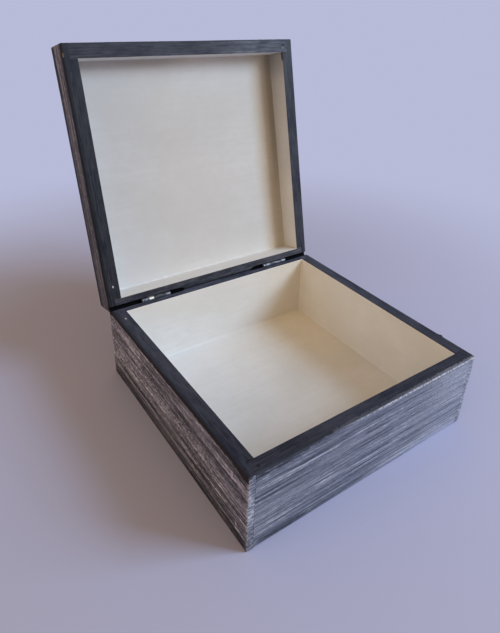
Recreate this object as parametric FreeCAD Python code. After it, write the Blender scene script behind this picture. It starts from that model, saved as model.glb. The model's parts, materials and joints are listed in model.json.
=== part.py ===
import FreeCAD, Part
import math
import os

# A small square keepsake box with a hinged lid, shown with the lid fully open.
# Millimetres. X runs to the right, Y from front to rear and Z up.
# The origin is the centre of the resting face under the base.

# Outside sizes
box_width = 160.0
box_depth = 160.0
base_height = 50.0
lid_height = 20.0

# Boards and panels
board_thickness = 8.5
bottom_panel_thickness = 4.0
top_panel_thickness = 4.0
tongue_thickness = 4.0
edge_round = 0.8

# Lid travel
open_angle = 103.0
stop_ease = 0.15
axis_inset = 2.5
rim_gap = 0.1

# Hinges, pressed into slots in the two rear boards
hinge_from_side = 31.5
hinge_length = 20.0
knuckle_count = 5
knuckle_gap = 0.1
pin_radius = 0.65
pin_play = 0.05
leaf_thickness = 0.8
leaf_depth = 8.0
slot_floor_gap = 0.5
groove_play = 0.3
groove_cutter_radius = 37.5

# Cutting tools run this far past the faces that they open
overcut = 1.0

half_width = box_width / 2
half_depth = box_depth / 2
rim_z = -rim_gap / 2
axis_y = half_depth - axis_inset
axis_z = base_height + rim_gap / 2
barrel_radius = pin_radius + pin_play + leaf_thickness
groove_radius = barrel_radius + groove_play
hinge_x = half_width - hinge_from_side
hinge_sides = {"left": -1, "right": 1}

X_AXIS = FreeCAD.Vector(1, 0, 0)
Y_AXIS = FreeCAD.Vector(0, 1, 0)


def block(x_span, y_span, z_span):
    """A box between three (low, high) pairs."""
    low = FreeCAD.Vector(x_span[0], y_span[0], z_span[0])
    size = [span[1] - span[0] for span in (x_span, y_span, z_span)]
    return Part.makeBox(size[0], size[1], size[2], low)


def prism(points, x_span):
    """A (y, z) outline carried along X from x_span[0] to x_span[1]."""
    corners = [FreeCAD.Vector(x_span[0], y, z) for y, z in points]
    outline = Part.makePolygon(corners + corners[:1])
    return Part.Face(outline).extrude(X_AXIS * (x_span[1] - x_span[0]))


def rod(radius, x_span):
    """A round bar on the hinge axis, which lies at z = 0 in the working frame."""
    start = FreeCAD.Vector(x_span[0], axis_y, 0)
    return Part.makeCylinder(radius, x_span[1] - x_span[0], start, X_AXIS)


def rounded(solid, planes):
    """The solid with each edge that lies in two of the outer planes rounded off.

    A plane is a pair: the letter of its axis and its place on it.
    """
    edges = []
    for edge in solid.Edges:
        box = edge.BoundBox
        hits = 0
        for letter, place in planes:
            low = getattr(box, letter + "Min")
            high = getattr(box, letter + "Max")
            if max(abs(low - place), abs(high - place)) < edge_round / 10:
                hits += 1
        if hits >= 2:
            edges.append(edge)
    return solid.makeFillet(edge_round, edges)


def stop_wedge():
    """What the chamfer takes off a rear top edge.

    The chamfer starts at the hinge axis. Those of the base and the lid lean by half the
    opening angle each, so they meet face to face and stop the open lid.
    """
    slope = math.tan(math.radians(open_angle / 2 + stop_ease))
    reach = axis_inset + overcut
    outline = [
        (axis_y, 0),
        (axis_y + reach, -reach * slope),
        (axis_y + reach, overcut),
        (axis_y, overcut),
    ]
    return prism(outline, (-half_width - overcut, half_width + overcut))


def barrel_groove(side):
    """The cutters of the round groove for one hinge's barrel.

    The straight cutter goes from the box's side to the inner end of the hinge. The other is
    the rising arc that a round-edged wheel leaves where it runs out.
    """
    inner_end = hinge_x - hinge_length / 2
    straight = rod(groove_radius, (inner_end, half_width + overcut))
    section = Part.Circle(FreeCAD.Vector(inner_end, axis_y, 0), X_AXIS, groove_radius)
    disc = Part.Face(Part.Wire(section.toShape()))
    wheel_centre = FreeCAD.Vector(inner_end, axis_y, groove_cutter_radius)
    rise = (groove_radius + overcut) / groove_cutter_radius
    run_out = disc.revolve(wheel_centre, Y_AXIS, math.degrees(math.acos(1 - rise)))
    cutters = [straight, run_out]
    if side < 0:
        cutters = [cutter.mirror(FreeCAD.Vector(0, 0, 0), X_AXIS) for cutter in cutters]
    return cutters


def leaf_slot(side):
    """The thin slot that one hinge leaf is pressed into."""
    middle = side * hinge_x
    front = axis_y - barrel_radius
    return block(
        (middle - hinge_length / 2, middle + hinge_length / 2),
        (front, front + leaf_thickness),
        (-leaf_depth - slot_floor_gap, overcut),
    )


def tray(height, panel_thickness):
    """The five wooden pieces of one half, open side up, with the hinge axis at z = 0.

    The side boards run from front to rear. A rebate round each takes the ends of the front
    and rear boards and the edge of the panel, and leaves a thin tongue that covers them.
    """
    floor_z = rim_z - height
    panel_z = floor_z + panel_thickness
    joint_x = half_width - tongue_thickness
    inner_x = half_width - board_thickness
    inner_y = half_depth - board_thickness
    ends = [("Y", -half_depth), ("Y", half_depth)]

    cross_x = (-joint_x, joint_x)
    front = block(cross_x, (-half_depth, -inner_y), (panel_z, rim_z))
    rear = block(cross_x, (inner_y, half_depth), (panel_z, rim_z))
    panel = block(cross_x, (-half_depth, half_depth), (floor_z, panel_z))
    panel = rounded(panel, ends + [("Z", floor_z)])

    side = block((inner_x, half_width), (-half_depth, half_depth), (floor_z, rim_z))
    side = rounded(side, ends + [("X", half_width), ("Z", floor_z)])
    rebate_x = (inner_x - overcut, joint_x)
    side = side.cut(block(rebate_x, (-half_depth - overcut, -inner_y), (floor_z - overcut, rim_z + overcut)))
    side = side.cut(block(rebate_x, (inner_y, half_depth + overcut), (floor_z - overcut, rim_z + overcut)))
    side = side.cut(block(rebate_x, (-half_depth, half_depth), (floor_z - overcut, panel_z)))

    side = side.cut(stop_wedge()).cut(barrel_groove(1))
    rear = rear.cut(stop_wedge())
    for sign in hinge_sides.values():
        rear = rear.cut(barrel_groove(sign)).cut(leaf_slot(sign))

    return {
        "front_board": front,
        "rear_board": rear,
        "left_board": side.mirror(FreeCAD.Vector(0, 0, 0), X_AXIS),
        "right_board": side,
        "panel": panel,
    }


def knuckle_span(middle, number):
    """The (low, high) X of one knuckle, a little short of its share of the barrel."""
    share = hinge_length / knuckle_count
    low = middle - hinge_length / 2 + number * share
    return (low + knuckle_gap / 2, low + share - knuckle_gap / 2)


def knuckle(x_span):
    """One knuckle: the leaf's sheet rolled round the pin, with the neck that leads to it."""
    front = axis_y - barrel_radius
    back = front + leaf_thickness
    neck_z = -math.sqrt(barrel_radius**2 - (barrel_radius - leaf_thickness) ** 2)
    x = x_span[0]
    top = FreeCAD.Vector(x, front, 0)
    far = FreeCAD.Vector(x, axis_y + barrel_radius, 0)
    neck = FreeCAD.Vector(x, back, neck_z)
    foot_back = FreeCAD.Vector(x, back, -leaf_depth)
    foot_front = FreeCAD.Vector(x, front, -leaf_depth)
    outline = Part.Wire(
        [
            Part.Arc(top, far, neck).toShape(),
            Part.LineSegment(neck, foot_back).toShape(),
            Part.LineSegment(foot_back, foot_front).toShape(),
            Part.LineSegment(foot_front, top).toShape(),
        ]
    )
    solid = Part.Face(outline).extrude(X_AXIS * (x_span[1] - x_span[0]))
    return solid.cut(rod(pin_radius + pin_play, (x_span[0] - overcut, x_span[1] + overcut)))


def leaf(middle, numbers):
    """A hinge leaf hanging from its numbered knuckles, in the working frame."""
    front = axis_y - barrel_radius
    solid = block(
        (middle - hinge_length / 2, middle + hinge_length / 2),
        (front, front + leaf_thickness),
        (-leaf_depth, -groove_radius),
    )
    for number in numbers:
        solid = solid.fuse(knuckle(knuckle_span(middle, number)))
    return solid.removeSplitter()


def pin(middle):
    """The hinge pin, as long as the barrel."""
    solid = rod(pin_radius, (middle - hinge_length / 2, middle + hinge_length / 2))
    return solid.makeChamfer(pin_radius / 3, solid.Edges)


def on_base(solid):
    """Lift a piece from the working frame to its place on the base."""
    placed = solid.copy()
    placed.translate(FreeCAD.Vector(0, 0, axis_z))
    return placed


def on_open_lid(solid):
    """Turn a piece over onto the closed lid, then swing it open about the hinge axis.

    The half turn is about Y, so it keeps front and rear and swaps left and right.
    """
    placed = solid.copy()
    placed.rotate(FreeCAD.Vector(0, 0, 0), Y_AXIS, 180)
    placed.rotate(FreeCAD.Vector(0, axis_y, 0), X_AXIS, -open_angle)
    placed.translate(FreeCAD.Vector(0, 0, axis_z))
    return placed


base = tray(base_height, bottom_panel_thickness)
lid = tray(lid_height, top_panel_thickness)

nodes = {
    "base_front_board": on_base(base["front_board"]),
    "base_rear_board": on_base(base["rear_board"]),
    "base_left_board": on_base(base["left_board"]),
    "base_right_board": on_base(base["right_board"]),
    "base_bottom_panel": on_base(base["panel"]),
    "lid_front_board": on_open_lid(lid["front_board"]),
    "lid_rear_board": on_open_lid(lid["rear_board"]),
    "lid_left_board": on_open_lid(lid["right_board"]),
    "lid_right_board": on_open_lid(lid["left_board"]),
    "lid_top_panel": on_open_lid(lid["panel"]),
}

outer_knuckles = range(0, knuckle_count, 2)
inner_knuckles = range(1, knuckle_count, 2)
for side_name, sign in hinge_sides.items():
    middle = sign * hinge_x
    nodes[side_name + "_hinge_base_leaf"] = on_base(leaf(middle, outer_knuckles))
    nodes[side_name + "_hinge_lid_leaf"] = on_open_lid(leaf(-middle, inner_knuckles))
    nodes[side_name + "_hinge_pin"] = on_base(pin(middle))

os.makedirs("parts", exist_ok=True)
for node, shape in nodes.items():
    shape.exportStep("parts/" + node + ".step")
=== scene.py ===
import json
import math

import bpy
import numpy as np
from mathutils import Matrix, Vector


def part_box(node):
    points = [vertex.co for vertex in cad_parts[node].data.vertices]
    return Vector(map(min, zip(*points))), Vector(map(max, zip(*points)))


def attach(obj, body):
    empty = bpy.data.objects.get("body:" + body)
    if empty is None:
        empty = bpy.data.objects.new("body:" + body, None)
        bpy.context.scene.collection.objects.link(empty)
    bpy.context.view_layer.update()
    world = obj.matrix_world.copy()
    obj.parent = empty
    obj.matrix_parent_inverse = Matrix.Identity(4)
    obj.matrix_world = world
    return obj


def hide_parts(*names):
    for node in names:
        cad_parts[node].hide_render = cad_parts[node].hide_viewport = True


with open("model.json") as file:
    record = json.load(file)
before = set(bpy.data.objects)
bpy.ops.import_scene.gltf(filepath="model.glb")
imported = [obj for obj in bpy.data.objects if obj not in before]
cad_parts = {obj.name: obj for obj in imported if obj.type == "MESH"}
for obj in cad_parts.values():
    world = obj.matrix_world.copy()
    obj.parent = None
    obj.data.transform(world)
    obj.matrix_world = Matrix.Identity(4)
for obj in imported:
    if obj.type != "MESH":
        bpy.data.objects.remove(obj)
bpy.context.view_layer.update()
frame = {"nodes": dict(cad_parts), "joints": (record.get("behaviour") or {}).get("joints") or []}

# A keepsake box of softwood boards. The boards are brushed so that the grain stands up, painted dark and
# then dry-brushed with pale paint outside; the rims are charcoal and the inside is ivory.
#
# Lengths of the box are in millimetres. Both halves are worked out as a tray with its open side up and
# the hinge axis at z = 0, and are then put in their place: the lid is a tray turned over.

MM = 0.001

# A step in a board's shape lies between two lattice lines this far apart
STEP_WIDTH = 0.002

# Edges that turn by more than this many degrees look sharp
sharp_turn = 42

# Hinge slots and grooves in the rear boards
leaf_thickness = 0.8
groove_play = 0.3
groove_cutter_radius = 37.5
slot_depth = 8.5

# What the slots, grooves and chamfer take off a rear rim fades out over this depth below it
squeeze_depth = 8.0

# The rebate leaves this much of a side board's outer face as it is
kept_skin = 1.5

# Where a rim lies lower than this, its slots and grooves get near-black paint: painted shade, for the dark of
# the deep hinge groove
shallow_drop = 0.02

# A place this far outside the line of the rim paint has none of it
no_lap = -50.0

# How far the eased edges reach in from each face
outer_ease = 0.6
corner_ease = 0.8
rim_ease = 0.45
inner_ease = 0.3
joint_ease = 0.01

# How wide a strip of the base's front rim can show the front's paint, and where along X it starts
front_strip = 2.6
front_strip_start = -56

# How deep the brushed grain is, outside and on the rims
grain_depth = 0.26
rim_wave = 0.05

# The nib of dried paint on the right board's outer edge: its place from front to rear, how far its middle
# lies below the rim, how far it stands out, and its half sizes from front to rear and upwards
nib_y = -54.5
nib_below_rim = 0.4
nib_height = 1.3
nib_half_length = 1.1
nib_half_rise = 0.9

# Sides of a block, in the order of block_skin; the underside, 4, needs no name
LOW_X, HIGH_X, LOW_Y, HIGH_Y = range(4)
HIGH_Z = 5

# The side of its block that a board or panel turns to the inside of its tray
inner_sides = {"front": HIGH_Y, "rear": LOW_Y, "left": HIGH_X, "right": LOW_X, "panel": HIGH_Z}

# Places of the paints in a board's list of materials
OUTSIDE, INSIDE, RIM, BOARD_END = range(4)

# The seed of each board's grain. A panel has its front board's, so that the streaks run on over the joint.
board_seeds = {
    "base_front_board": 11,
    "base_rear_board": 12,
    "base_left_board": 13,
    "base_right_board": 14,
    "base_bottom_panel": 11,
    "lid_front_board": 21,
    "lid_rear_board": 22,
    "lid_left_board": 23,
    "lid_right_board": 24,
    "lid_top_panel": 21,
}

# A board's pattern lies this far along, times its seed, so that no two boards look the same
board_shift = 400

# Random heights come from a table of this size, which repeats. The offset keeps its cell numbers above 0.
table_rows, table_columns = 128, 512
cell_offset = 900

hinge = frame["joints"][0]
axis_y = hinge["pos_m"][1] / MM
axis_z = hinge["pos_m"][2] / MM
open_angle = math.radians(hinge["range_deg"][1])


def lid_map(points):
    """Tray places to the open lid: half a turn about Y, then a swing back about the hinge axis."""
    y = points[:, 1] - axis_y
    z = -points[:, 2]
    turn_cos, turn_sin = math.cos(open_angle), math.sin(open_angle)
    swung_y = axis_y + y * turn_cos + z * turn_sin
    swung_z = axis_z - y * turn_sin + z * turn_cos
    return np.stack([-points[:, 0], swung_y, swung_z], 1)


def lid_unmap(points):
    """The open lid's places back to its tray."""
    y = points[:, 1] - axis_y
    z = points[:, 2] - axis_z
    turn_cos, turn_sin = math.cos(open_angle), math.sin(open_angle)
    tray_y = axis_y + y * turn_cos - z * turn_sin
    tray_z = -(y * turn_sin + z * turn_cos)
    return np.stack([-points[:, 0], tray_y, tray_z], 1)


def base_map(points):
    """Tray places to the base."""
    return points + np.array([0, 0, axis_z])


def tray_box(node):
    """Lowest and highest corner of a CAD node in its own tray."""
    vertices = frame["nodes"][node].data.vertices
    points = np.empty(len(vertices) * 3)
    vertices.foreach_get("co", points)
    points = points.reshape(-1, 3) / MM
    points = lid_unmap(points) if node.startswith("lid") else points - np.array([0, 0, axis_z])
    return points.min(0).round(3), points.max(0).round(3)


leaf_low, leaf_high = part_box("left_hinge_base_leaf")
barrel_radius = leaf_high.y / MM - axis_y
groove_radius = barrel_radius + groove_play
hinge_length = (leaf_high.x - leaf_low.x) / MM
hinge_x = -(leaf_high.x + leaf_low.x) / 2 / MM
slot_front = axis_y - barrel_radius
rim_z = tray_box("base_front_board")[1][2]
front_low, front_high = tray_box("base_front_board")
joint_x = front_high[0]
half_width = tray_box("base_right_board")[1][0]
half_depth = -front_low[1]
inner_y = -front_high[1]


def smooth(value):
    """0 below 0, 1 above 1, and 3t^2 - 2t^3 between."""
    t = np.clip(value, 0, 1)
    return t * t * (3 - 2 * t)


def patches(along, across, cell_along, cell_across, seed):
    """Smooth random heights from 0 to 1: one for each corner of a grid, blended inside its cells."""
    table = np.random.default_rng(seed).random((table_rows, table_columns))
    a = along / cell_along + cell_offset
    b = across / cell_across + cell_offset
    i, j = np.floor(a).astype(int), np.floor(b).astype(int)
    f, g = smooth(a - i), smooth(b - j)
    row, next_row = i % table_rows, (i + 1) % table_rows
    column, next_column = j % table_columns, (j + 1) % table_columns
    low = table[row, column] * (1 - f) + table[next_row, column] * f
    high = table[row, next_column] * (1 - f) + table[next_row, next_column] * f
    return low * (1 - g) + high * g


def brushed_grain(along, across, seed):
    """Long ridges and hollows of brushed softwood, 0 to 1: three sizes of stretched, wandering patches."""
    level = across + 1.2 * (patches(along, across, 45, 14, seed) - 0.5)
    height = 0.22 * patches(along, level, 95, 2.6, seed + 1)
    height += 0.34 * patches(along, level, 60, 1.15, seed + 2)
    height += 0.44 * patches(along, level, 30, 0.6, seed + 3)
    return np.clip(0.52 + 1.45 * (height - 0.5), 0, 1)


def strokes(along, across, marks, seed):
    """Single long marks of the brush: (start, end, level, half width, how light) each, with ragged ends."""
    total = np.zeros_like(along)
    wander = 0.8 * (patches(along, across, 30, 12, seed) - 0.5)
    broken = 0.55 + 0.9 * patches(along, across, 3.2, 1.0, seed + 5)
    ragged = 8 * (patches(along, across, 9, 0.8, seed + 6) - 0.5)
    for start, end, level, half_width, lightness in marks:
        window = smooth((along - start + ragged) / 6) * smooth((end - along + ragged) / 6)
        across_mark = np.exp(-(((across + wander - level) / half_width) ** 2))
        total += lightness * window * across_mark * broken
    return total


# Marks on the boards that show most: from, to, level above the tray's foot, half width, lightness.
# Those on the lid's front rim have their Y as the level. Those near the left board's front end run upwards,
# and have their Y as the level too.
front_marks = [
    (-90, -25, 39.4, 0.4, 1.1),
    (-74, -66, 44.0, 2.0, 0.5),
    (-90, -22, 46.9, 1.0, -0.6),
    (-90, -52, 49.4, 0.9, -0.6),
    (-26, 4, 40.6, 1.0, 0.35),
    (-90, -36, 34.6, 0.5, -0.6),
    (-90, -40, 33.2, 0.35, 0.7),
    (-90, -28, 31.2, 1.1, -0.5),
    (-28, 16, 31.0, 0.6, -0.45),
    (-22, 12, 33.5, 0.6, 0.35),
    (-12, 10, 36.4, 1.0, -0.6),
    (-46, 52, 43.8, 0.5, -0.35),
    (20, 52, 36.5, 1.6, -0.3),
    (-38, 16, 28.0, 0.8, -0.45),
    (-4, 8, 24.0, 1.0, 0.9),
    (8, 90, 24.0, 0.8, 0.35),
    (20, 90, 33.0, 0.8, 0.25),
    (-25, 20, 18.8, 1.3, -0.5),
    (-62, -38, 19.2, 0.4, -0.4),
    (-56, 20, 16.5, 0.5, 0.4),
    (-55, 15, 14.2, 0.8, -0.4),
    (20, 90, 14.2, 0.9, -0.6),
    (-40, 12, 10.3, 0.5, -0.4),
    (0, 90, 6.5, 3.0, 0.3),
    (-76, -42, 3.2, 1.6, -1.0),
    (-42, 0, 3.0, 1.0, -0.5),
    (50, 90, 40.0, 8.0, 0.35),
    (10, 90, 26.0, 16.0, 0.2),
    (30, 90, 22.5, 3.0, 0.25),
]
left_marks = [
    (-22, 22, 37.4, 0.8, -0.35),
    (-75, -8, 36.2, 1.4, -0.5),
    (-80, 0, 39.2, 0.35, 0.4),
    (52, 70, 35.0, 0.5, -0.7),
    (-76, -2, 18.6, 0.5, -0.9),
    (-72, -20, 23.4, 0.35, -0.5),
    (-66, -8, 16.0, 0.5, 0.5),
    (-76, -44, 14.2, 0.4, -0.6),
    (-76, -50, 12.2, 0.4, -0.6),
    (-50, 66, 13.4, 1.6, -0.7),
    (-50, 72, 11.0, 0.4, 0.35),
    (-60, 30, 8.8, 0.4, 0.3),
    # This mark darkens the board along its foot: painted shade where it meets the floor
    (-90, 90, 3.5, 4.5, -0.7),
    (-90, -40, 30.0, 22.0, -0.12),
    (-90, -48, 19.8, 1.3, -0.5),
    (-58, -34, 46.4, 0.35, 0.5),
    (-14, 38, 46.0, 0.35, 0.5),
    (40, 90, 42.0, 3.5, 0.15),
]
left_end_marks = [
    (4, 15, -69.0, 0.35, -0.9),
    (5, 14, -70.6, 0.9, 0.4),
    (33, 46, -68.0, 0.35, -0.6),
    (32, 46, -66.8, 0.4, 0.4),
    (12, 30, -76.0, 0.4, -0.4),
]
lid_front_rim_marks = [
    (-90, -12, -78.2, 0.4, 0.7),
    (-90, -30, -75.2, 0.4, 0.4),
    (-78, 30, -72.3, 0.5, 0.6),
    (-90, 90, -79.8, 0.5, -0.5),
    (-60, -20, -76.6, 0.4, -0.35),
]
lid_left_marks = [
    # The first mark darkens the strip along the lid's outer edge: painted shade where the rounded edge turns
    # from the light
    (-90, 90, 0.8, 1.6, -0.9),
    (-90, 90, 9.5, 3.5, 0.1),
]


def lattice_lines(low, high, step, ease_low, ease_high, extra=()):
    """Places along one edge of a block, in order.

    They are even steps, and r (1 - tan a) from each end for a = 0 to 45 degrees, where r is its ease.
    """
    bend = 1 - np.tan(np.radians([45, 30, 15]))
    count = max(round((high - ease_high - low - ease_low) / step), 1)
    even = np.linspace(low + ease_low, high - ease_high, count + 1)
    places = np.sort(np.concatenate([low + ease_low * bend, even, high - ease_high * bend, extra]))
    return places[np.append(True, np.diff(places) > STEP_WIDTH / 4)]


def step_lines(*places):
    """Two close lines each side of every place where the block has a step."""
    return np.concatenate([[place - STEP_WIDTH / 2, place + STEP_WIDTH / 2] for place in places])


def block_skin(counts):
    """The quads that cover a lattice of points, facing out, with the side that each lies on.

    Each side is the sheet of points with one index at its end, and four neighbours make a quad.
    Side 0 and 1 are low and high X, 2 and 3 are Y, 4 and 5 are Z.
    """
    numbers = np.arange(np.prod(counts)).reshape(counts)
    quads, sides = [], []
    for axis in range(3):
        for end in range(2):
            sheet = np.take(numbers, -end, axis=axis)
            corners = [sheet[:-1, :-1], sheet[1:, :-1], sheet[1:, 1:], sheet[:-1, 1:]]
            quad = np.stack(corners, -1).reshape(-1, 4)
            quads.append(quad if (axis != 1) == (end == 1) else quad[:, ::-1])
            sides.append(np.full(len(quad), 2 * axis + end))
    used, quads = np.unique(np.concatenate(quads), return_inverse=True)
    index = np.stack(np.unravel_index(used, counts), 1)
    return index, quads.reshape(-1, 4), np.concatenate(sides)


def eased_block(points, low, high, ease):
    """Move lattice points near an edge onto a quarter ellipse.

    Its reach from each face is that face's ease. Returns the places and the outward direction of each.
    """
    core = np.clip(points, low + ease[0], high - ease[1])
    reach = np.where(points < core, ease[0], ease[1])
    away = (points - core) / reach
    away /= np.linalg.norm(away, axis=1, keepdims=True)
    outward = away / reach
    outward /= np.linalg.norm(outward, axis=1, keepdims=True)
    return core + reach * away, outward


def rear_drop(x, y):
    """How far the rear edge lies below the rim: the lowest of the stop chamfer, the groove and the slot.

    The groove is a round channel. Past the hinge it rises as the arc of the wheel that cut it:
    z = R - sqrt((R + s)^2 - run^2), where s is the channel's half chord at y.
    """
    chamfer = -np.maximum(y - axis_y, 0) * math.tan(open_angle / 2)
    half_chord = np.sqrt(np.maximum(groove_radius**2 - (y - axis_y) ** 2, 0))
    run = np.maximum(hinge_x - hinge_length / 2 - np.abs(x), 0)
    wheel = groove_cutter_radius + half_chord
    groove = groove_cutter_radius - np.sqrt(np.maximum(wheel**2 - run**2, 0))
    groove = np.where(half_chord > 0, groove, 0)
    along_hinge = np.abs(np.abs(x) - hinge_x) < hinge_length / 2
    across_leaf = np.abs(y - slot_front - leaf_thickness / 2) < leaf_thickness / 2
    in_slot = along_hinge & across_leaf
    top = np.minimum(np.minimum(chamfer, groove), rim_z)
    return rim_z - np.where(in_slot, -slot_depth, top)


def rear_lines():
    """Places along Y that follow the groove's round wall, the slot and the chamfer."""
    angles = np.radians(np.linspace(0, 180 - math.degrees(open_angle / 2), 12))
    arc = axis_y - groove_radius * np.cos(angles)
    slot = step_lines(slot_front, slot_front + leaf_thickness)
    return np.concatenate([arc, slot, [axis_y - groove_radius - 0.05]])


def new_piece(name, points, quads, materials, sides, attributes):
    """A mesh object at the origin from points in millimetres."""
    mesh = bpy.data.meshes.new(name)
    mesh.vertices.add(len(points))
    mesh.vertices.foreach_set("co", (points * MM).astype(np.float32).ravel())
    mesh.loops.add(quads.size)
    mesh.loops.foreach_set("vertex_index", quads.astype(np.int32).ravel())
    mesh.polygons.add(len(quads))
    mesh.polygons.foreach_set("loop_start", np.arange(0, quads.size, quads.shape[1], dtype=np.int32))
    for material in materials:
        mesh.materials.append(material)
    mesh.polygons.foreach_set("material_index", sides.astype(np.int32))
    mesh.polygons.foreach_set("use_smooth", np.ones(len(quads), bool))
    mesh.update(calc_edges=True)
    for key, values in attributes.items():
        is_vector = values.ndim == 2
        attribute = mesh.attributes.new(key, "FLOAT_VECTOR" if is_vector else "FLOAT", "POINT")
        attribute.data.foreach_set("vector" if is_vector else "value", values.astype(np.float32).ravel())
    mesh.set_sharp_from_angle(angle=math.radians(sharp_turn))
    piece = bpy.data.objects.new(name, mesh)
    bpy.context.scene.collection.objects.link(piece)
    return piece


# Materials

pale_speck = (0.55, 0.56, 0.60)
dark_speck = (0.006, 0.006, 0.007)

# Single specks on the rims: board, place along, across and into it, half size the same ways, colour
rim_specks = [
    ("base_left_board", (63.5, 50.0, -75.5), (0.8, 0.8, 0.45), pale_speck),
    ("lid_left_board", (63.1, 20.0, 75.6), (0.8, 0.8, 0.45), pale_speck),
    ("lid_front_board", (-72.5, 20.0, -74.5), (1.1, 1.0, 0.9), (0.15, 0.15, 0.14)),
    ("lid_front_board", (-72.3, 20.0, -76.1), (1.2, 1.0, 0.7), (0.004, 0.004, 0.004)),
    ("lid_left_board", (-73.5, 20.0, 79.6), (1.2, 1.0, 0.6), (0.15, 0.11, 0.05)),
    ("base_front_board", (-72.5, 50.0, -76.3), (0.9, 0.9, 0.9), dark_speck),
    ("lid_front_board", (-72.9, 20.0, -76.0), (0.9, 0.9, 0.9), dark_speck),
    ("base_right_board", (-54.4, 50.0, 80.0), (0.9, 0.9, 0.9), dark_speck),
]

# The smudge in the lid's corner, given in the same way
corner_smudge = ("lid_right_board", (-69.4, 19.3, -71.5), (3.4, 1.1, 2.0))


class Nodes:
    """Short ways to add and join the shader nodes of one material."""

    def __init__(self, name):
        self.material = bpy.data.materials.new(name)
        self.material.use_nodes = True
        self.tree = self.material.node_tree
        self.shader = self.tree.nodes["Principled BSDF"]

    def add(self, kind, inputs=None, **settings):
        node = self.tree.nodes.new(kind)
        for key, value in settings.items():
            setattr(node, key, value)
        for key, value in (inputs or {}).items():
            self.feed(node.inputs[key], value)
        return node

    def feed(self, socket, value):
        if isinstance(value, bpy.types.NodeSocket):
            self.tree.links.new(value, socket)
        else:
            socket.default_value = value

    def math(self, operation, first, second=0.0, clamp=False):
        node = self.add("ShaderNodeMath", {0: first, 1: second}, operation=operation, use_clamp=clamp)
        return node.outputs[0]

    def plus(self, first, second, clamp=False):
        return self.math("ADD", first, second, clamp)

    def minus(self, first, second, clamp=False):
        return self.math("SUBTRACT", first, second, clamp)

    def times(self, first, second, clamp=False):
        return self.math("MULTIPLY", first, second, clamp)

    def swing(self, value, weight):
        """How far a value lies above a half, times a weight."""
        return self.times(self.minus(value, 0.5), weight)

    def fade(self, value, start, end):
        """0 at start and 1 at end, smoothly."""
        inputs = {"Value": value, "From Min": start, "From Max": end}
        return self.add("ShaderNodeMapRange", inputs, interpolation_type="SMOOTHSTEP").outputs["Result"]

    def mix(self, factor, first, second, blend="MIX"):
        inputs = {"Factor": factor, "A": first, "B": second}
        return self.add("ShaderNodeMix", inputs, data_type="RGBA", blend_type=blend).outputs["Result"]

    def toned(self, colour, tone):
        """A colour times a number."""
        return self.add("ShaderNodeVectorMath", {0: colour, "Scale": tone}, operation="SCALE").outputs[0]

    def attribute(self, name, output="Fac"):
        return self.add("ShaderNodeAttribute", attribute_name=name).outputs[output]

    def scaled(self, place, scale, seed=0.0):
        """The place times a scale along, across and into the board, per metre."""
        inputs = {"Vector": place, "Scale": scale, "Location": (seed, seed, seed)}
        return self.add("ShaderNodeMapping", inputs).outputs[0]

    def noise(self, place, scale, detail=3.0, roughness=0.6, seed=0.0):
        """Soft random values, with scale many per metre along, across and into the board."""
        place = self.scaled(place, scale, seed)
        inputs = {"Vector": place, "Scale": 1.0, "Detail": detail, "Roughness": roughness}
        return self.add("ShaderNodeTexNoise", inputs).outputs["Fac"]

    def dab(self, place, node, centre, reach):
        """1 on a ragged daub round a centre on one board, fading out at its reach; lengths in mm."""
        shifted = (centre[0] + board_shift * board_seeds[node], centre[1], centre[2])
        middle = tuple(MM * part for part in shifted)
        away = self.add("ShaderNodeVectorMath", {0: place, 1: middle}, operation="SUBTRACT")
        away = self.scaled(away.outputs[0], tuple(1 / (MM * part) for part in reach))
        ragged = self.noise(place, (1500, 1500, 1500), detail=2.0, roughness=0.5)
        length = self.add("ShaderNodeVectorMath", {0: away}, operation="LENGTH").outputs["Value"]
        return self.fade(self.plus(length, ragged), 1.65, 1.35)

    def ramp(self, value, stops):
        node = self.add("ShaderNodeValToRGB", {"Fac": value})
        elements = node.color_ramp.elements
        while len(elements) < len(stops):
            elements.new(0.5)
        for element, (place, colour) in zip(elements, stops):
            element.position = place
            element.color = colour
        return node.outputs["Color"]

    def finish(self, colour, roughness, relief, strength, distance, gloss=None):
        """Join a colour, a roughness and a bump to the shader, and return the material."""
        if gloss is not None:
            self.shader.inputs["Specular IOR Level"].default_value = gloss
        bump = self.add("ShaderNodeBump", {"Height": relief, "Strength": strength, "Distance": distance})
        self.feed(self.shader.inputs["Base Color"], colour)
        self.feed(self.shader.inputs["Roughness"], roughness)
        self.feed(self.shader.inputs["Normal"], bump.outputs["Normal"])
        return self.material


def rgb(red, green, blue):
    return (red, green, blue, 1.0)


def brush_streaks(n, place, ridge, chips, fineness, grit):
    """How light the dry brush leaves the paint: ridges, fine lines, chips and dashes, less scores."""
    fine = n.noise(place, (26, 720 * fineness, 300))
    streaks = n.swing(ridge, 0.75)
    streaks = n.plus(streaks, n.swing(fine, 2.0))
    streaks = n.plus(streaks, n.swing(chips, grit))
    scores = n.fade(n.noise(place, (24, 1250, 200), detail=2.0, roughness=0.5, seed=21.0), 0.40, 0.33)
    streaks = n.minus(streaks, n.times(scores, 0.4))
    dashes = n.fade(n.noise(place, (190, 1500, 350), detail=2.0, roughness=0.5, seed=31.0), 0.57, 0.65)
    dashes = n.times(dashes, n.fade(ridge, 0.3, 0.7))
    return n.plus(streaks, n.times(dashes, 0.25))


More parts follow.
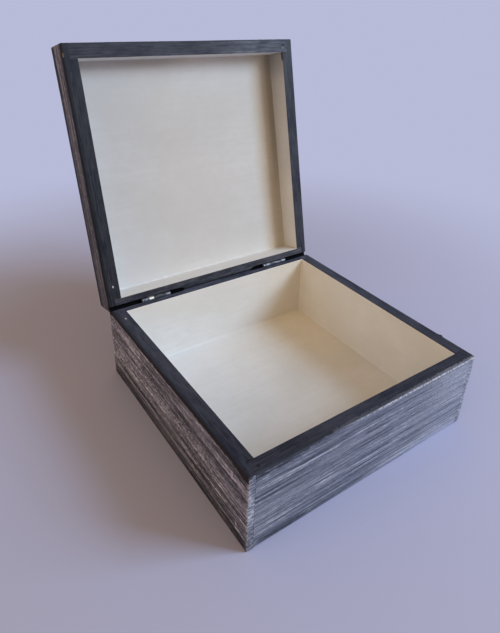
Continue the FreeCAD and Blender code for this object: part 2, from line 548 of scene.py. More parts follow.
def plate_cracks(n, place):
    """1 in the cracks round slanted plates of paint, which come and go in patches."""
    slanted = n.add("ShaderNodeVectorMath", {0: place, 1: (330, 260, 0)}, operation="DOT_PRODUCT")
    upright = n.add("ShaderNodeVectorMath", {0: place, 1: (0, 560, 0)}, operation="DOT_PRODUCT")
    axes = {"X": slanted.outputs["Value"], "Y": upright.outputs["Value"]}
    plate_place = n.add("ShaderNodeCombineXYZ", axes).outputs[0]
    plates = n.add("ShaderNodeTexVoronoi", {"Vector": plate_place, "Scale": 1.0}, feature="DISTANCE_TO_EDGE")
    crack = n.minus(1.0, n.fade(plates.outputs["Distance"], 0.02, 0.15))
    come_and_go = n.noise(place, (150, 300, 300), detail=2.0, roughness=0.5, seed=41.0)
    return n.times(crack, n.fade(come_and_go, 0.36, 0.52))


def streaked_paint(name, coats, lap_colour, fineness, grit, lap_cover, lap_grit):
    """Dark base coat in the hollows, pale dry-brushed coats on the ridges, and rim paint lapped over the top.

    coats are the colours from the hollows to the ridges. fineness makes the lines finer and grit the chips
    stronger. lap_cover is how well the lapped paint covers the ridges, and lap_grit how ragged its edge is.
    """
    n = Nodes(name)
    place = n.attribute("board_place", "Vector")
    ridge = n.attribute("ridge")
    chips = n.noise(place, (420, 1000 * fineness, 420), seed=3.0)
    streaks = brush_streaks(n, place, ridge, chips, fineness, grit)
    height = n.plus(n.times(streaks, n.attribute("streakiness")), 0.5, clamp=True)
    cracks = n.times(plate_cracks(n, place), n.attribute("bark"))
    height = n.minus(height, n.times(cracks, 0.5), clamp=True)
    colour = n.ramp(height, list(zip((0.0, 0.25, 0.52, 0.76, 1.0), coats)))
    cloud = n.noise(place, (22, 60, 60), roughness=0.5, seed=7.0)
    dusty = n.mix(0.4, colour, coats[3])
    colour = n.mix(n.times(n.fade(cloud, 0.35, 0.75), 0.5), colour, dusty)
    nicks = n.noise(place, (700, 700, 700), seed=11.0)
    # Pale where edges are rubbed, and along the base's front top edge a painted highlight line
    worn_and_highlit = n.times(n.attribute("wear_and_edge_highlight"), n.fade(nicks, 0.42, 0.60), clamp=True)
    colour = n.mix(worn_and_highlit, colour, rgb(0.62, 0.64, 0.70))
    ragged = n.noise(place, (260, 700, 700), seed=5.0)
    lap = n.plus(n.attribute("lap"), n.swing(ragged, 3.5))
    lap = n.plus(lap, n.swing(chips, lap_grit))
    left_bare = n.times(n.fade(height, 0.55, 0.85), 1 - lap_cover)
    lapped = n.minus(n.fade(lap, -0.35, 0.35), left_bare, clamp=True)
    # Lighter and darker by place, much of it painted shade and painted light
    colour = n.toned(n.mix(lapped, colour, lap_colour), n.attribute("coat_tone_and_painted_light"))
    roughness = n.plus(0.6, n.times(chips, 0.25))
    return n.finish(colour, roughness, height, strength=0.5, distance=0.25 * MM, gloss=0.2)


def rim_paint(name, dark, pale):
    """Charcoal satin paint: dark and pale dabs, the brush's fine lines along the board, and a few specks. It
    is made lighter and darker by place to paint in sheen and shade.
    """
    n = Nodes(name)
    place = n.attribute("board_place", "Vector")
    lines = n.noise(place, (60, 1200, 1200), seed=2.0)
    dabs = n.noise(place, (150, 380, 380), seed=9.0)
    cloud = n.noise(place, (35, 90, 90), roughness=0.5, seed=19.0)
    tone = n.plus(n.times(lines, 0.50), n.times(dabs, 0.28))
    tone = n.fade(n.plus(tone, n.times(cloud, 0.32)), 0.43, 0.66)
    colour = n.mix(tone, dark, pale)
    # Lighter and darker by place: painted sheen and painted shade on the rims
    colour = n.toned(colour, n.attribute("rim_tone_and_painted_light"))
    scratch = n.noise(place, (60, 2000, 2000), detail=2.0, roughness=0.5, seed=4.0)
    colour = n.mix(n.times(n.fade(scratch, 0.66, 0.78), 0.35), colour, rgb(0.20, 0.21, 0.25))
    for node, centre, reach, speck_colour in rim_specks:
        colour = n.mix(n.dab(place, node, centre, reach), colour, rgb(*speck_colour))
    roughness = n.plus(0.46, n.times(dabs, 0.2))
    return n.finish(colour, roughness, n.plus(lines, dabs), strength=0.35, distance=0.16 * MM, gloss=0.25)


def ivory_paint(name):
    """Brushed ivory satin paint: faint brush lines, soft clouding, small nibs, and yellower in places. Beyond
    an even slight yellowing, its yellower and darker places are painted warm shade and its lighter ones
    painted light.
    """
    n = Nodes(name)
    place = n.attribute("board_place", "Vector")
    lines = n.noise(place, (18, 420, 420), roughness=0.55, seed=6.0)
    cloud = n.noise(place, (26, 34, 34), roughness=0.5, seed=1.0)
    nibs = n.noise(place, (900, 900, 900), detail=2.0, roughness=0.5, seed=8.0)
    mottle = n.noise(place, (160, 260, 260), seed=14.0)
    colour = n.mix(n.fade(cloud, 0.3, 0.7), rgb(0.725, 0.733, 0.735), rgb(0.785, 0.802, 0.825))
    colour = n.mix(n.times(n.fade(lines, 0.3, 0.7), 0.4), colour, rgb(0.715, 0.722, 0.725))
    colour = n.mix(n.times(n.fade(mottle, 0.4, 0.7), 0.35), colour, rgb(0.70, 0.705, 0.70))
    # Painted warm shade and painted light, on top of an even slight yellowing of the paint
    colour = n.mix(n.attribute("yellowing_and_warm_shade"), colour, rgb(1.0, 0.90, 0.72), "MULTIPLY")
    colour = n.toned(colour, n.attribute("inner_tone_and_painted_light"))
    colour = n.mix(n.dab(place, *corner_smudge), colour, rgb(0.05, 0.05, 0.06))
    roughness = n.plus(0.42, n.times(cloud, 0.15))
    relief = n.plus(n.times(lines, 0.7), n.times(nibs, 0.5))
    return n.finish(colour, roughness, relief, strength=0.35, distance=0.16 * MM, gloss=0.35)


# Where along X the left hinge has its bright yellow patch of metal: a painted highlight
highlight_spot_x = -52.0


def hinge_metal(name):
    """Zinc-plated steel that the rim paint half covers: barer at its ends, with one bright yellow patch that
    paints in a highlight.
    """
    n = Nodes(name)
    place = n.add("ShaderNodeTexCoord").outputs["Object"]
    x = n.add("ShaderNodeSeparateXYZ", {0: place}).outputs[0]
    from_middle = n.math("ABSOLUTE", n.minus(n.math("ABSOLUTE", x), hinge_x * MM))
    from_highlight = n.math("ABSOLUTE", n.minus(x, highlight_spot_x * MM))
    lines = n.noise(place, (4200, 700, 700))
    dabs = n.noise(place, (400, 600, 600), seed=12.0)
    ends = n.fade(from_middle, 4.5 * MM, 8.0 * MM)
    bare = n.plus(n.times(ends, 0.10), dabs)
    bare = n.fade(bare, 0.52, 0.62)
    painted_highlight = n.fade(from_highlight, 2.0 * MM, 1.2 * MM)
    colour = n.mix(bare, rgb(0.030, 0.030, 0.036), rgb(0.24, 0.24, 0.25))
    colour = n.mix(painted_highlight, colour, rgb(0.72, 0.68, 0.50))
    n.feed(n.shader.inputs["Metallic"], n.math("MAXIMUM", bare, painted_highlight))
    return n.finish(colour, n.plus(0.38, n.times(dabs, 0.2)), lines, strength=0.3, distance=0.04 * MM)


def plain_paint(name, colour, roughness):
    """One thick daub of paint, a little uneven in tone."""
    n = Nodes(name)
    place = n.add("ShaderNodeTexCoord").outputs["Object"]
    cloud = n.noise(place, (600, 600, 600))
    darker = rgb(*(0.7 * part for part in colour[:3]))
    uneven = n.mix(n.fade(cloud, 0.3, 0.7), darker, colour)
    roughness = n.plus(roughness, n.times(cloud, 0.1))
    return n.finish(uneven, roughness, cloud, strength=0.3, distance=0.1 * MM, gloss=0.05)


cool_coats = [
    rgb(0.055, 0.064, 0.093),
    rgb(0.112, 0.129, 0.180),
    rgb(0.195, 0.219, 0.288),
    rgb(0.29, 0.315, 0.39),
    rgb(0.54, 0.57, 0.66),
]
taupe_coats = [
    rgb(0.036, 0.035, 0.043),
    rgb(0.100, 0.098, 0.120),
    rgb(0.20, 0.20, 0.245),
    rgb(0.36, 0.355, 0.43),
    rgb(0.74, 0.73, 0.86),
]
# The rim paint lapped over the outside, in two copies: bluish on the front boards and brown on the sides,
# which paints in the cool light and the warm shade that each gets
front_lap = rgb(0.046, 0.053, 0.073)
side_lap = rgb(0.018, 0.012, 0.009)
front_streaks = streaked_paint(
    "dry_brushed_cool_grey", cool_coats, front_lap, fineness=1.4, grit=1.1, lap_cover=0.2, lap_grit=6.0
)
side_streaks = streaked_paint(
    "dry_brushed_taupe_grey", taupe_coats, side_lap, fineness=1.0, grit=1.35, lap_cover=1.0, lap_grit=2.0
)
# Near-black for the hinge groove's slots and channels: painted shade, standing in for the dark of the deep
# groove
groove_painted_shade = plain_paint("painted_shade_in_the_hinge_groove", rgb(0.004, 0.004, 0.005), roughness=0.8)
# One charcoal paint in two copies: the base's bluer and the lid's less blue, which paints in the light that
# each half's rims get
base_rims = rim_paint("charcoal_rim_paint", rgb(0.0115, 0.0142, 0.0275), rgb(0.057, 0.064, 0.090))
lid_rims = rim_paint("charcoal_lid_rim_paint", rgb(0.0125, 0.0138, 0.0235), rgb(0.061, 0.0635, 0.0755))
ivory = ivory_paint("ivory_inside_paint")
steel = hinge_metal("zinc_plated_steel")

# Boards


def under_rim_paint(is_lid, points, flat, high, outward):
    """How far each place lies inside the outer line of the rim paint, in millimetres; below 0 outside it.

    On the base's front the line runs 3.4 mm down the outside at the left, crosses the edge, and then runs 1.5
    to 1.9 mm in on the rim. On the lid and the base's sides it runs about 3 mm down the outside, and some
    4 mm near the base's front.
    """
    if is_lid:
        return 3.0 + flat[:, 2] - high[2]
    x = points[:, 0]
    front_line = 3.4 - 5.3 * smooth((x + 62) / 42) + 0.4 * smooth((x - 45) / 35)
    side_line = 2.8 + 1.5 * smooth((-points[:, 1] - 66) / 12)
    on_top = (flat[:, 2] > high[2] - 0.01) & (flat[:, 1] < front_strip - inner_y)
    in_from_edge = np.where(on_top, flat[:, 1] + half_depth, 0)
    on_front = np.maximum(smooth((-outward[:, 1] - 0.5) / 0.4), on_top)
    return front_line * on_front + side_line * (1 - on_front) + flat[:, 2] - high[2] + in_from_edge


def tones_and_painted_light(node, points, above_foot):
    """How light the rim, inside and outside paints are from place to place, and how yellow the inside is.
    Beyond the paints' even colours, most of this by place is painted light and shade: darker and warmer where
    shadows fall, lighter where light falls, and sheen on the rims.
    """
    x, y = points[:, 0], points[:, 1]
    yellowing_and_warm_shade = np.full(len(points), 0.25)
    rim = np.full(len(points), 0.9)
    inner = np.full(len(points), 0.95)
    coat = np.ones(len(points))
    outer_edge_shade = smooth((np.abs(x) - 78.0) / 0.9)
    # The rear rims darken towards the hinge groove: painted shade
    if node.endswith("rear_board"):
        rim *= 1 - 0.7 * smooth((y - axis_y + 0.9) / 0.5)
    # The base's rims are lighter towards the rear: painted light
    if node.startswith("base"):
        rim *= 0.72 + 0.52 * smooth((y + 80) / 150)
    if node == "base_left_board":
        # Painted shade: the rim's rounded outer edge, the lower part of the face and its foot are darker. The
        # middle band is lighter, more so towards the front.
        rim *= 0.86 * (1 - 0.55 * outer_edge_shade)
        painted_low_shade = smooth((17.5 - above_foot) / 4)
        middle = smooth((above_foot - 18) / 4) * smooth((34 - above_foot) / 4)
        coat += middle * (0.18 + 0.42 * smooth((y + 30) / 60)) - 0.27 * painted_low_shade
        coat -= 0.2 * smooth((5 - above_foot) / 3)
    if node == "base_right_board":
        # Painted light and warm shade: the inside is lighter, warmer towards the rear where the shadow lies
        # and less warm at the front; the rim darkens towards the rear
        rim *= 1 - 0.25 * smooth(y / 60)
        inner *= 1.15
        yellowing_and_warm_shade += 0.4 * smooth((y + 10) / 70) - 0.12 * smooth((-y - 10) / 40)
    if node == "base_rear_board":
        # Painted light and warm shade: the rim and the inside are lighter, and the inside warmer at the right
        # end, in the right board's shadow
        rim *= 1.25
        inner *= 1.12
        yellowing_and_warm_shade += 0.4 * smooth((x - 20) / 40)
    if node == "base_front_board":
        rim *= 0.94 - 0.14 * smooth((x - 30) / 40)
    if node in ("base_front_board", "base_bottom_panel"):
        # At the foot, lighter at the right, painted light thrown up from the floor, and darker at the left,
        # painted shade against the floor; the face is also lighter towards the right
        painted_floor_light = smooth(x / 40) * smooth((9 - above_foot) / 5)
        painted_floor_light += smooth(x / 40) * smooth((4.5 - above_foot) / 2.5)
        painted_foot_shade = smooth((-x - 20) / 40) * smooth((5 - above_foot) / 3)
        coat += 0.2 * smooth((x - 20) / 45) + 0.29 * painted_floor_light - 0.3 * painted_foot_shade
        coat -= 0.07 * smooth((x - 10) / 20)
    if node == "base_bottom_panel":
        # Painted light and warm shade on the tray's floor: lighter towards the right and the rear, and warmer
        # towards the right, where the right board's shadow falls
        painted_light_to_rear = (0.22 - 0.1 * smooth((x + 30) / 80)) * smooth((y + 10) / 80)
        inner *= 0.885 + 0.185 * smooth((x - 10) / 55) + painted_light_to_rear
        yellowing_and_warm_shade = 0.23 * smooth((x + 30) / 50)
        yellowing_and_warm_shade += 0.65 * smooth((x - 15) / 35) * smooth((y + 25) / 70)
    if node == "lid_front_board":
        rim *= 0.93 + 1.05 * smooth((-x - 5) / 55)
        rim *= 1 + strokes(x, y, lid_front_rim_marks, 61)
    if node == "lid_rear_board":
        rim *= 1.3 + 0.25 * smooth((-x + 20) / 40)
    if node == "lid_left_board":
        # Painted shade: the rim is darker, most at its rounded outer edge, and the face darkens further along
        # the lid's outer edge; the face is also darker overall
        rim *= 0.66 * (1 - 0.6 * outer_edge_shade)
        coat *= 0.48 + 0.15 * smooth((60 - y) / 140)
        edge_shade = smooth((11 - above_foot) / 3)
        deep_edge_shade = smooth((8 - above_foot) / 4)
        coat *= 1 - 0.17 * edge_shade - 0.48 * deep_edge_shade
    if node == "lid_right_board":
        # Painted shade: the inside darkens and warms towards the lid's far end, in the shadow
        rim *= 0.88
        inner *= 1.06 - 0.17 * smooth((30 - y) / 30) - 0.12 * smooth((-y - 10) / 60)
        inner *= 1 - 0.25 * smooth((-y - 50) / 14)
        yellowing_and_warm_shade += 0.15
    if node == "lid_top_panel":
        # Painted light and shade on the lid's panel: lighter towards the hinge; darker and warmer in the
        # shadows of the right board and of the far board, darkest towards the far right; a lit corner paler
        # and less yellow
        inner *= 0.9 + 0.13 * np.exp((y - inner_y) / 16) - 0.05 * smooth(x / 70)
        inner *= 1 - 0.06 * smooth((12 - y) / 40)
        inner *= 1 - 0.22 * smooth((-x - 60) / 8)
        inner *= 1 - 0.28 * smooth((-x - 65) / 4) * smooth((32 - y) / 40)
        inner *= 1 - 0.18 * smooth((-y - 64) / 5) * smooth((x + 10) / 30)
        painted_lit_corner = smooth((x - 10) / 40) * smooth((y - 20) / 40)
        inner += 0.05 * painted_lit_corner
        yellowing_and_warm_shade -= 0.25 * painted_lit_corner
        mild = 0.2 * smooth((45 - x) / 30) * smooth((55 - y) / 60)
        yellowing_and_warm_shade += mild + 0.6 * smooth((-x - 48) / 14)
    return {"rim_tone_and_painted_light": rim, "inner_tone_and_painted_light": inner, "coat_tone_and_painted_light": coat, "yellowing_and_warm_shade": yellowing_and_warm_shade}


def board_eases(kind):
    """How far the eased edges of a board reach in from its low and from its high faces, along X, Y and Z."""
    low, high = np.full(3, joint_ease), np.full(3, joint_ease)
    if kind == "front":
        low[1], high[1], high[2] = outer_ease, inner_ease, rim_ease
    if kind == "rear":
        low[1], high[1], high[2] = inner_ease, outer_ease, rim_ease
    if kind in ("left", "right"):
        low[0], high[0] = (outer_ease, inner_ease) if kind == "left" else (inner_ease, outer_ease)
        low[1:], high[1], high[2] = corner_ease, corner_ease, rim_ease
    if kind == "panel":
        low[1:] = high[1] = corner_ease
    return low, high


def extra_lines(kind, panel_z):
    """The lattice lines along X, Y and Z that a board's slots, groove, chamfer and rebate need."""
    extra = [[], [], []]
    if kind == "rear":
        ends = [hinge_x - hinge_length / 2, hinge_x + hinge_length / 2]
        extra[0] = step_lines(*(sign * end for sign in (-1, 1) for end in ends))
        extra[1] = rear_lines()
    if kind in ("left", "right"):
        extra[1] = np.concatenate([step_lines(-inner_y, inner_y), rear_lines()])
        extra[2] = step_lines(panel_z)
    return extra


def cut_rebate(points, flat, low, high, outer_sign, panel_z):
    """Thin a side board to its tongue at both ends and along its foot, and return where that is."""
    outer_x = high[0] if outer_sign > 0 else -low[0]
    depth = outer_x - outer_sign * points[:, 0]
    thickness = high[0] - low[0]
    tongue = outer_x - joint_x
    shrunk = kept_skin + (depth - kept_skin) * (tongue - kept_skin) / (thickness - kept_skin)
    in_rebate = (np.abs(flat[:, 1]) > inner_y) | (flat[:, 2] < panel_z)
    depth = np.where(in_rebate & (depth > kept_skin), shrunk, depth)
    points[:, 0] = outer_sign * (outer_x - depth)
    return in_rebate


def cracked_band(along, across, height, seed):
    """1 in a ragged band along a side board, where the paint is cracked into plates; 0 at its front end."""
    middle = height * 0.53
    reach = 0.2 * height * (0.6 + 0.8 * patches(along, along * 0, 22, 1, seed + 21))
    return smooth((reach - np.abs(across - middle)) / 4 + 0.5) * smooth((along + 75) / 30)


def facing_outside(kind, is_lid, outer_sign, flat, outward):
    """The square of how far the outward direction points out of the box; 0 on inside faces."""
    if kind == "front":
        return np.maximum(-outward[:, 1], 0) ** 2
    if kind == "rear":
        return np.maximum(outward[:, 1], 0) ** 2
    if kind == "panel":
        below = np.maximum(-outward[:, 2], 0) ** 2 if is_lid else 0
        return outward[:, 1] ** 2 + below
    outside = np.maximum(outward[:, 0] * outer_sign, 0) ** 2 + outward[:, 1] ** 2
    inner_wall = (flat[:, 0] * outer_sign < joint_x + 0.5) & (np.abs(outward[:, 1]) < 0.9)
    return np.where(inner_wall, 0, outside)


def board_paints(kind, is_lid):
    """A board's paints, and which of them each side of its block has.

    The ends of a side board have the front's streaks, and the near-black painted shade of the hinge groove
    comes last.
    """
    is_side = kind in ("left", "right")
    materials = [side_streaks if is_side else front_streaks, ivory, lid_rims if is_lid else base_rims]
    choice = np.full(6, OUTSIDE)
    choice[HIGH_Z] = RIM
    choice[inner_sides[kind]] = INSIDE
    if is_side:
        materials.append(front_streaks)
        choice[[LOW_Y, HIGH_Y]] = BOARD_END
    return materials + [groove_painted_shade], choice


def finished_board(node, kind, steps, marks=(), end_marks=()):
    """One board or panel of a tray, from the box of its CAD node.

    kind is front, rear, left, right or panel, as the tray lies with its open side up. steps are the lattice's
    along X, Y and Z.
    """
    low, high = tray_box(node)
    half = node.split("_")[0]
    is_lid = half == "lid"
    is_side = kind in ("left", "right")
    outer_sign = -1 if kind == "left" else 1
    seed = board_seeds[node]
    foot_z = tray_box(half + "_left_board")[0][2]
    panel_z = tray_box(half + "_rear_board")[0][2]
    along_axis = 1 if is_side else 0
    eases = board_eases(kind)
    extra = extra_lines(kind, panel_z)
    places = [lattice_lines(low[a], high[a], steps[a], eases[0][a], eases[1][a], extra[a]) for a in range(3)]
    index, quads, sides = block_skin([len(line) for line in places])
    flat = np.stack([places[a][index[:, a]] for a in range(3)], 1)
    points, outward = eased_block(flat, low, high, eases)
    if is_side:
        in_rebate = cut_rebate(points, flat, low, high, outer_sign, panel_z)

    along, across = points[:, along_axis], points[:, 2] - foot_z
    if kind == "panel":
        across = np.where(np.abs(outward[:, 1]) > 0.5, across, points[:, 1])
    grain = brushed_grain(along, across, seed) + strokes(along, across, marks, seed)
    grain += strokes(across, along, end_marks, seed)
    bark = np.zeros(len(points))
    if is_side:
        bark = cracked_band(along, across, high[2] - foot_z, seed)
        bark *= 1.0 if node == "base_left_board" else 0.35
        end_grain = 0.70 + 0.5 * (patches(points[:, 0], across, 2.2, 0.8, seed + 30) - 0.5)
        grain = np.where(np.abs(outward[:, 1]) > 0.7, end_grain, grain)
    grain = np.clip(grain, 0, 1)

    outside = facing_outside(kind, is_lid, outer_sign, flat, outward)
    on_rim = np.maximum(outward[:, 2], 0) ** 2 if kind != "panel" else 0
    wave = patches(along, points[:, 1 - along_axis], 14, 1.3, seed + 9)
    lowered = grain_depth * outside * (1 - grain) + rim_wave * on_rim * wave
    points = points - outward * lowered[:, None]
    if node == "base_right_board":
        from_middle = (points[:, 1] - nib_y) / nib_half_length
        from_level = (flat[:, 2] - high[2] + nib_below_rim) / nib_half_rise
        nib = np.exp(-(from_middle**2) - from_level**2)
        points[:, 0] += nib_height * nib * np.maximum(outward[:, 0], 0)

    lap = np.full(len(points), no_lap)
    if kind != "panel":
        lap = under_rim_paint(is_lid, points, flat, high, outward)
    drop = np.zeros(len(points))
    if kind == "rear" or is_side:
        drop = rear_drop(points[:, 0], flat[:, 1])
        points[:, 2] -= drop * np.clip((flat[:, 2] - rim_z) / squeeze_depth + 1, 0, 1)

    x = points[:, 0]
    tones_and_light = tones_and_painted_light(node, points, across)
    streakiness = np.ones(len(points))
    if kind in ("front", "panel") and not is_lid:
        streakiness = 0.82 - 0.08 * smooth((x + 40) / 30) - 0.2 * smooth((x - 10) / 40)
    to_side = half_width - np.abs(x)
    to_end = half_depth - np.abs(points[:, 1])
    wear_and_edge_highlight = np.exp(-np.maximum(to_side, to_end) / 0.8)
    materials, choice = board_paints(kind, is_lid)
    paint = choice[sides]
    if is_side:
        paint[in_rebate[quads].any(axis=1) & (sides == inner_sides[kind])] = RIM
    paint[(drop[quads] > shallow_drop).all(axis=1) & (sides == HIGH_Z)] = len(materials) - 1
    if not is_lid and (kind == "front" or node == "base_right_board"):
        # A pale line along the rounded top edge, from the middle to the right: a painted highlight. The face
        # is also paler towards its upper right, and the front's paint lies on a strip of the rim.
        in_from_edge = flat[:, 1] + half_depth
        run = in_from_edge + flat[:, 2] - high[2]
        highlight_reach = smooth((x + 25) / 35) * smooth((1.2 - in_from_edge) / 0.4)
        wear_and_edge_highlight += 3.2 * highlight_reach * np.exp(-(((run + 0.75) / 0.45) ** 2))
        wear_and_edge_highlight += 0.16 * smooth((x - 10) / 40) * smooth((across - 20) / 10)
        in_strip = (in_from_edge < front_strip) & (x > front_strip_start)
        paint[in_strip[quads].all(axis=1) & (sides == HIGH_Z)] = OUTSIDE if kind == "front" else BOARD_END
        past_edge = smooth((in_from_edge - 0.1) / 0.5)
        tones_and_light["coat_tone_and_painted_light"] *= 1 - 0.48 * past_edge * smooth((flat[:, 2] - high[2]) / 0.2 + 1)

    place = np.stack([along + board_shift * seed, across, points[:, 1 - along_axis]], 1) * MM
    if kind == "panel":
        place[:, 2] = points[:, 2] * MM
    world = lid_map(points) if is_lid else base_map(points)
    attributes = {"board_place": place, "ridge": grain, "lap": lap, "wear_and_edge_highlight": wear_and_edge_highlight, "bark": bark, **tones_and_light}
    attributes["streakiness"] = streakiness
    piece = new_piece("painted_" + node, world, quads, materials, paint, attributes)
    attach(piece, "lid" if is_lid else "base")
    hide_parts(node)


# How far the hidden point and the edges of a strip of paint lie behind the walls, as shares of its reach
strip_root = -0.1
strip_edge = -0.03


def paint_strip(start, end, first_wall, second_wall, reach):
    """Thick paint in the corner between two walls, from start to end, closed all round.

    Across it is a hollow quarter circle: reach (1 - sin a) along the first wall and reach (1 - cos a) along
    the second, for a = 0 to 90 degrees. Its last point is the hidden one, behind the corner.
    """
    angles = np.radians(np.linspace(0, 90, 7))
    first = np.append(1 - np.sin(angles), strip_root)
    second = np.append(1 - np.cos(angles), strip_root)
    first[6] = second[0] = strip_edge
    ring = first[:, None] * np.array(first_wall) + second[:, None] * np.array(second_wall)
    if np.dot(np.cross(first_wall, second_wall), np.subtract(end, start)) < 0:
        start, end, reach = end, start, reach[::-1]
    line = np.linspace(start, end, len(reach))
    points = line[:, None, :] + reach[:, None, None] * ring[None, :, :]
    numbers = np.arange(len(reach) * 8).reshape(-1, 8)
    following = np.roll(numbers, -1, axis=1)
    quads = np.stack([numbers[:-1], following[:-1], following[1:], numbers[1:]], -1).reshape(-1, 4)
    cap = np.array([[7, 0, 1, 2], [7, 2, 3, 4], [7, 4, 5, 6]])
    return points.reshape(-1, 3), np.concatenate([quads, cap[:, ::-1], cap + numbers[-1, 0]])


# The board at the right of each tray, and its panel
tray_parts = {"base": ("base_right_board", "base_bottom_panel"), "lid": ("lid_left_board", "lid_top_panel")}


def inner_paint_beads(half, seed, lumpy):
    """Ivory paint that has gathered in the inner corners of a tray: round the panel and up the four corners.

    lumpy is how much the strip along the rear board swells and breaks, in millimetres.
    """
    right_board, panel = tray_parts[half]
    inner_x = tray_box(right_board)[0][0]
    floor_z = tray_box(half + "_rear_board")[0][2]
    top_z = rim_z - rim_ease
    strips = []
    for sign in (-1, 1):
        corners = [(sign * inner_x, -inner_y, floor_z), (sign * inner_x, inner_y, floor_z)]
        along = np.linspace(-inner_y, inner_y, 240)
        reach = 0.35 + 0.3 * patches(along, along * 0, 5, 1, seed + sign)
        strips.append(paint_strip(*corners, (-sign, 0, 0), (0, 0, 1), reach))
        corners = [(-inner_x, sign * inner_y, floor_z), (inner_x, sign * inner_y, floor_z)]
        reach = 0.35 + 0.3 * patches(along, along * 0, 5, 1, seed + 3)
        if sign > 0:
            reach += lumpy * smooth(1.8 * patches(along, along * 0, 1.7, 1, seed + 4) - 0.6)
        strips.append(paint_strip(*corners, (0, -sign, 0), (0, 0, 1), reach))
        for end in (-1, 1):
            foot = (sign * inner_x, end * inner_y, floor_z)
            up = np.linspace(0, 1, 40)
            swell = 0.7 + 0.6 * patches(up * 40, up * 0, 6, 1, seed + end)
            reach = 0.02 + 0.5 * smooth((1 - up) * 6) * swell
            strips.append(paint_strip(foot, (foot[0], foot[1], top_z), (-sign, 0, 0), (0, -end, 0), reach))
    firsts = np.cumsum([0] + [len(strip[0]) for strip in strips])
    points = np.concatenate([strip[0] for strip in strips])
    quads = np.concatenate([strip[1] + first for strip, first in zip(strips, firsts)])
    tones_and_light = tones_and_painted_light(panel, points, points[:, 2] - floor_z)
    attributes = {key: tones_and_light[key] for key in ("inner_tone_and_painted_light", "yellowing_and_warm_shade")}
    attributes["board_place"] = points * MM
    world = lid_map(points) if half == "lid" else base_map(points)
    piece = new_piece(half + "_inner_paint_beads", world, quads, [ivory], np.zeros(len(quads)), attributes)
    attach(piece, half)


cross_steps = (0.95, 0.8, 0.34)
side_steps = (0.8, 0.95, 0.34)
finished_board("base_front_board", "front", cross_steps, front_marks)
finished_board("base_rear_board", "rear", cross_steps)
finished_board("base_left_board", "left", side_steps, left_marks, left_end_marks)
finished_board("base_right_board", "right", side_steps)
finished_board("base_bottom_panel", "panel", (1.0, 1.0, 0.45), front_marks)
finished_board("lid_front_board", "front", (0.95, 0.4, 0.5))
finished_board("lid_rear_board", "rear", cross_steps)
finished_board("lid_left_board", "right", side_steps, lid_left_marks)
finished_board("lid_right_board", "left", side_steps)
finished_board("lid_top_panel", "panel", (1.2, 0.55, 0.6))

inner_paint_beads("base", seed=40, lumpy=0.2)
inner_paint_beads("lid", seed=50, lumpy=0.9)

for node, part in frame["nodes"].items():
    if "hinge" in node:
        part.data.materials.clear()
        part.data.materials.append(steel)

# Floor, light and camera

background = rgb(0.48, 0.50, 0.69)
floor_colour = rgb(0.45, 0.48, 0.69)

# The floor's disc: its rings and where it fades into the background, in metres, and its corners
floor_rings = (0.0001, 0.3, 0.8, 1.6, 3.0)
fade_start, fade_end = 0.20, 0.52
floor_corners = 96


def seen_directly(tree):
    """1 for what the camera sees straight, mirrored or through something clear; 0 for light on the box."""
    path = tree.nodes.new("ShaderNodeLightPath")
    factor = path.outputs["Is Camera Ray"]
    for ray in ("Is Glossy Ray", "Is Transmission Ray"):
        larger = tree.nodes.new("ShaderNodeMath")
        larger.operation = "MAXIMUM"
        tree.links.new(factor, larger.inputs[0])
        tree.links.new(path.outputs[ray], larger.inputs[1])
        factor = larger.outputs[0]
    return factor


def floor_material():
    """Pale lavender-white paper that fades into the background's colour far away."""
    n = Nodes("pale_floor")
    n.shader.inputs["Base Color"].default_value = floor_colour
    n.shader.inputs["Roughness"].default_value = 0.8
    place = n.add("ShaderNodeTexCoord").outputs["Object"]
    distance = n.add("ShaderNodeVectorMath", {0: place}, operation="LENGTH").outputs["Value"]
    far = n.add("ShaderNodeEmission", {"Color": background, "Strength": 1.0})
    faded = n.times(n.fade(distance, fade_start, fade_end), seen_directly(n.tree))
    mixed = n.add("ShaderNodeMixShader", {0: faded, 1: n.shader.outputs[0], 2: far.outputs[0]})
    n.feed(n.tree.nodes["Material Output"].inputs["Surface"], mixed.outputs[0])
    return n.material


def floor_disc():
    """A flat disc: r and angle on a grid, x = r cos a and y = r sin a."""
    angles = np.linspace(0, 2 * np.pi, floor_corners + 1)[:-1]
    radius, angle = np.meshgrid(np.array(floor_rings) / MM, angles)
    points = np.stack([radius * np.cos(angle), radius * np.sin(angle), np.zeros_like(radius)], -1)
    numbers = np.arange(radius.size).reshape(radius.shape)
    following = np.roll(numbers, -1, axis=0)
    corners = [numbers[:, :-1], numbers[:, 1:], following[:, 1:], following[:, :-1]]
    quads = np.stack(corners, -1).reshape(-1, 4)
    floor = new_piece("floor", points.reshape(-1, 3), quads, [floor_material()], np.zeros(len(quads)), {})


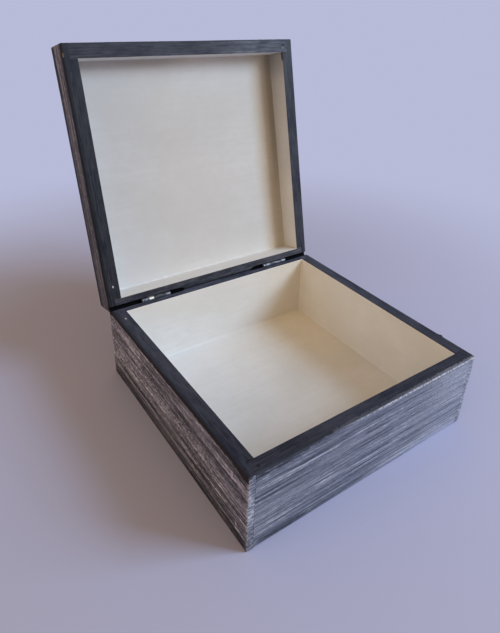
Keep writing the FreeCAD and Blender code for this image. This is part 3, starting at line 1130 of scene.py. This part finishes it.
def area_light(name, place, target, size, power, colour):
    """A square lamp that points at a target, in metres and watts."""
    lamp = bpy.data.lights.new(name, "AREA")
    lamp.shape = "SQUARE"
    lamp.size = size
    lamp.energy = power
    lamp.color = colour
    holder = bpy.data.objects.new(name, lamp)
    holder.location = place
    holder.rotation_euler = (Vector(target) - Vector(place)).to_track_quat("-Z", "Y").to_euler()
    holder.visible_camera = False
    bpy.context.scene.collection.objects.link(holder)


def world_light():
    """Even warm light on the box, with the plain background where the camera sees past it."""
    world = bpy.data.worlds.new("pale_room")
    world.use_nodes = True
    tree = world.node_tree
    light = tree.nodes["Background"]
    light.inputs["Color"].default_value = rgb(1.0, 0.70, 0.42)
    light.inputs["Strength"].default_value = 0.48
    seen = tree.nodes.new("ShaderNodeBackground")
    seen.inputs["Color"].default_value = background
    mixed = tree.nodes.new("ShaderNodeMixShader")
    tree.links.new(seen_directly(tree), mixed.inputs[0])
    tree.links.new(light.outputs[0], mixed.inputs[1])
    tree.links.new(seen.outputs[0], mixed.inputs[2])
    tree.links.new(mixed.outputs[0], tree.nodes["World Output"].inputs["Surface"])
    bpy.context.scene.world = world


floor_disc()
world_light()
lit_place = (0, 0, 0.06)
area_light("window_light", (0.89, -0.77, 0.86), lit_place, size=0.60, power=17.1, colour=(0.61, 0.79, 1.0))
area_light("warm_fill", (-0.9, -0.1, 0.5), lit_place, size=0.8, power=1.5, colour=(1.0, 0.78, 0.60))

# The camera's place in metres and its turn in degrees
camera_place = (-0.17368, -0.21038, 0.23644)
camera_turn = (61.950, -2.559, -35.652)

camera_data = bpy.data.cameras.new("camera")
camera_data.lens = 30.54
camera_data.sensor_width = 36
camera_data.shift_x = -0.0283
camera_data.shift_y = -0.0722
camera_data.clip_start = 0.01
camera = bpy.data.objects.new("camera", camera_data)
camera.location = camera_place
camera.rotation_euler = tuple(math.radians(angle) for angle in camera_turn)
bpy.context.scene.collection.objects.link(camera)
bpy.context.scene.camera = camera
bpy.context.scene.view_settings.view_transform = "Standard"

bpy.context.view_layer.update()
